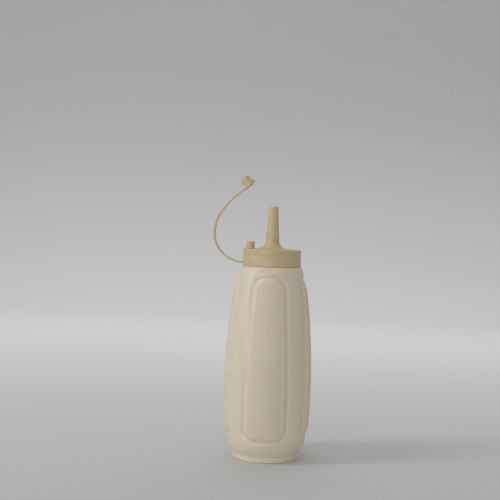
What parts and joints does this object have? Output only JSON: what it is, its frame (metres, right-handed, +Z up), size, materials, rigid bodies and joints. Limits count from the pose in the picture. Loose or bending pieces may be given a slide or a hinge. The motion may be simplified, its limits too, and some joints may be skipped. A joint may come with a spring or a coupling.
{
  "type": "squeeze bottle",
  "caption": "Soft plastic squeeze bottle for sauce, with raised textured panels, a screw lid, a long tapered nozzle and a tip cap held open on a strap.",
  "frame": {"origin": "centre of the flat base, on the surface the bottle stands on", "axes": "+Z up along the bottle's axis, -Y towards the middle of one raised panel, -X towards the strap and the parking post"},
  "size_m": [0.0825, 0.0696, 0.2245],
  "materials": {
    "body_plastic": "opaque cream polyethylene, satin smooth, the raised panels finely pebbled",
    "lid_plastic": "opaque beige polyethylene, satin"
  },
  "bodies": {
    "root": {"bottle": "body_plastic", "lid": "lid_plastic", "strap": "lid_plastic", "tip_cap": "lid_plastic"}
  },
  "joints": []
}
